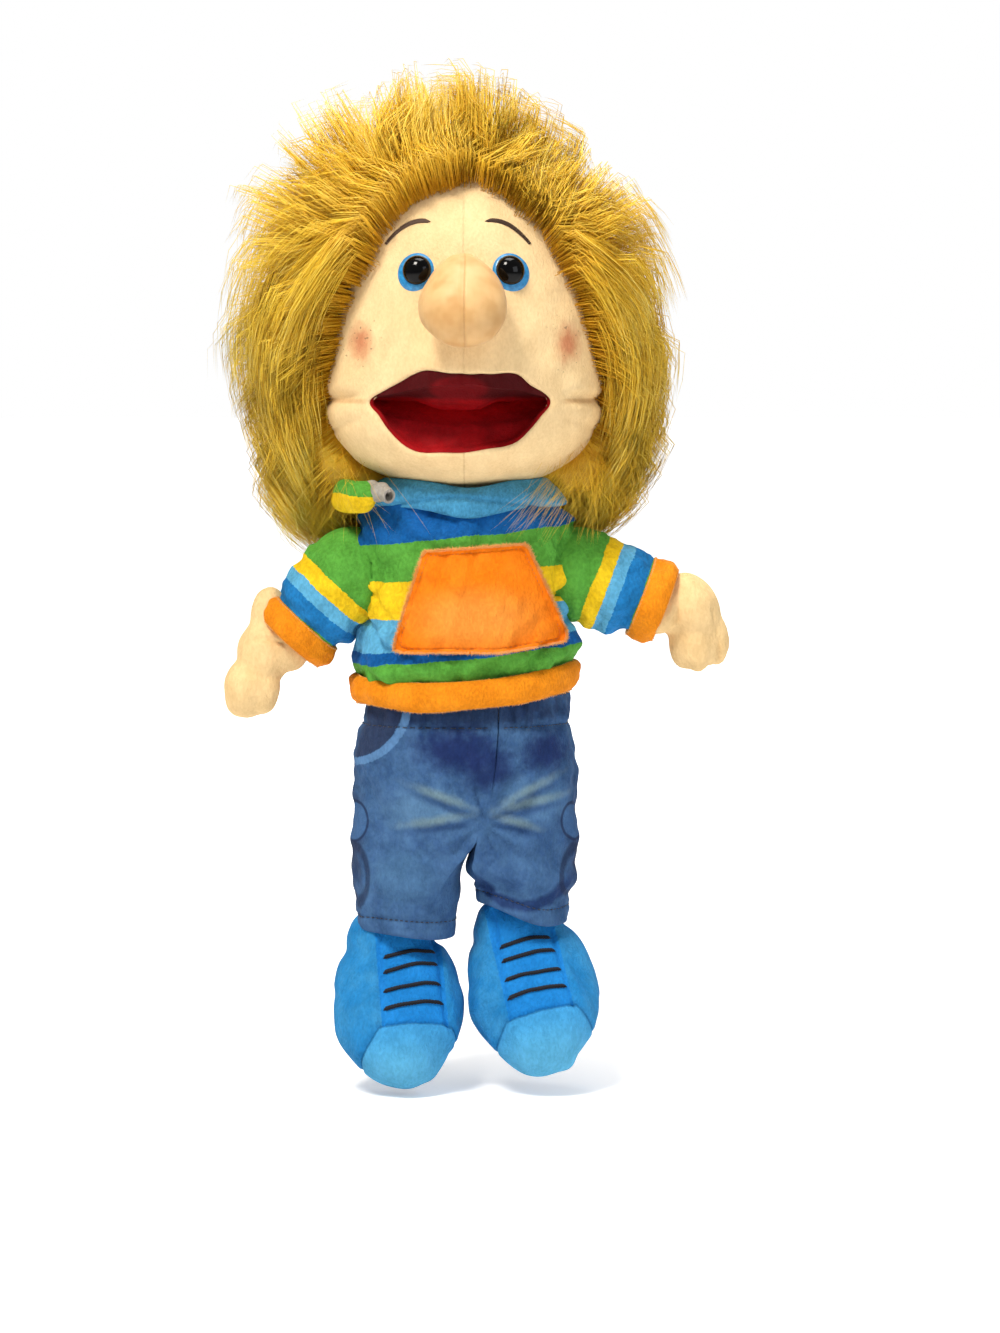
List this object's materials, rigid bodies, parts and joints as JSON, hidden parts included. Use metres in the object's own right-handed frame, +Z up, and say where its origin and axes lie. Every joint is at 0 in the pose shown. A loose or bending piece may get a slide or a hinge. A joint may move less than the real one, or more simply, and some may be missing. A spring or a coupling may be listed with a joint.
{
  "type": "moving mouth puppet",
  "caption": "Plush hand puppet of a boy: hinged mouth worked by a hand from behind, shaggy golden wig, striped hoodie with pocket, jeans, swinging arms and legs, plush shoes.",
  "frame": {"origin": "middle of the hand entry at waist height, in the gap between the back of the trousers and the loose back hem of the jumper; an operator's wrist passes here", "axes": "+Z up the body from the shoes to the hair, -Y the way the face looks, +X the puppet's own left; row +X is across the shoulders"},
  "size_m": [0.2394, 0.1714, 0.449],
  "materials": {
    "skin": "matte",
    "nose_skin": "matte",
    "foam": "matte",
    "board": "matte",
    "mouth_red": "matte",
    "strap": "matte",
    "fur": "matte",
    "pupil": "gloss",
    "iris_blue": "satin",
    "washer": "matte",
    "brow_thread": "matte",
    "stripe_blue": "matte",
    "stripe_green": "matte",
    "orange": "matte",
    "sky": "matte",
    "cotton": "matte",
    "elastic": "matte",
    "denim": "matte",
    "shoe_blue": "matte",
    "lace_thread": "matte"
  },
  "bodies": {
    "torso": {"body_sleeve": "cotton", "jumper_body": "stripe_blue", "jumper_hem": "orange", "jumper_pocket": "orange", "jumper_collar": "sky", "hood_bag": "stripe_green", "hood_rim": "stripe_green", "trouser_seat": "denim", "trouser_waistband": "denim", "waist_elastic": "elastic"},
    "neck": {"neck_tube": "skin"},
    "head": {"face_panel_left": "skin", "face_panel_right": "skin", "head_foam": "foam", "palate_board": "board", "palate_lining": "mouth_red", "finger_strap": "strap", "nose": "nose_skin", "eye_left": "pupil", "eye_right": "pupil", "iris_left": "iris_blue", "iris_right": "iris_blue", "eye_washer_left": "washer", "eye_washer_right": "washer", "brow_left": "brow_thread", "brow_right": "brow_thread", "wig": "fur"},
    "jaw": {"chin_panel_left": "skin", "chin_panel_right": "skin", "chin_foam": "foam", "jaw_board": "board", "jaw_lining": "mouth_red", "thumb_strap": "strap"},
    "shoulder_left": {"arm_tab_left": "cotton"},
    "arm_left": {"sleeve_left": "stripe_green", "cuff_left": "orange", "hand_left": "skin"},
    "leg_left": {"trouser_leg_left": "denim", "leg_left": "cotton"},
    "foot_left": {"shoe_upper_left": "shoe_blue", "shoe_toe_left": "shoe_blue", "shoe_sole_left": "shoe_blue", "lace_left_1": "lace_thread", "lace_left_2": "lace_thread", "lace_left_3": "lace_thread", "lace_left_4": "lace_thread"},
    "shoulder_right": {"arm_tab_right": "cotton"},
    "arm_right": {"sleeve_right": "stripe_green", "cuff_right": "orange", "hand_right": "skin"},
    "leg_right": {"trouser_leg_right": "denim", "leg_right": "cotton"},
    "foot_right": {"shoe_upper_right": "shoe_blue", "shoe_toe_right": "shoe_blue", "shoe_sole_right": "shoe_blue", "lace_right_1": "lace_thread", "lace_right_2": "lace_thread", "lace_right_3": "lace_thread", "lace_right_4": "lace_thread"}
  },
  "joints": [
    {"name": "head_turn", "type": "hinge", "parent": "torso", "child": "neck", "pos_m": [0, -0.0285, 0.088], "axis": [0, 0, 1], "range_deg": [-28, 28]},
    {"name": "head_nod", "type": "hinge", "parent": "neck", "child": "head", "pos_m": [0, -0.0285, 0.1], "axis": [1, 0, 0], "range_deg": [-10, 8]},
    {"name": "jaw_open", "type": "hinge", "parent": "head", "child": "jaw", "pos_m": [0, -0.0475, 0.1345], "axis": [1, 0, 0], "range_deg": [-34, 8]},
    {"name": "shoulder_swing_left", "type": "hinge", "parent": "torso", "child": "shoulder_left", "pos_m": [0.05, -0.0375, 0.058], "axis": [-1, 0, 0], "range_deg": [-35, 35]},
    {"name": "shoulder_lift_left", "type": "hinge", "parent": "shoulder_left", "child": "arm_left", "pos_m": [0.05, -0.0375, 0.058], "axis": [0, -1, 0], "range_deg": [-29, 40]},
    {"name": "shoulder_swing_right", "type": "hinge", "parent": "torso", "child": "shoulder_right", "pos_m": [-0.05, -0.0375, 0.058], "axis": [-1, 0, 0], "range_deg": [-35, 35]},
    {"name": "shoulder_lift_right", "type": "hinge", "parent": "shoulder_right", "child": "arm_right", "pos_m": [-0.05, -0.0375, 0.058], "axis": [0, 1, 0], "range_deg": [-4, 65]},
    {"name": "hip_left", "type": "hinge", "parent": "torso", "child": "leg_left", "pos_m": [0.0243, -0.0405, -0.05], "axis": [-1, 0, 0], "range_deg": [-15, 80]},
    {"name": "ankle_left", "type": "hinge", "parent": "leg_left", "child": "foot_left", "pos_m": [0.03, -0.0365, -0.104], "axis": [-1, 0, 0], "range_deg": [-15, 15]},
    {"name": "hip_right", "type": "hinge", "parent": "torso", "child": "leg_right", "pos_m": [-0.0243, -0.0405, -0.05], "axis": [-1, 0, 0], "range_deg": [-15, 80]},
    {"name": "ankle_right", "type": "hinge", "parent": "leg_right", "child": "foot_right", "pos_m": [-0.03, -0.0365, -0.104], "axis": [-1, 0, 0], "range_deg": [-15, 15]}
  ]
}
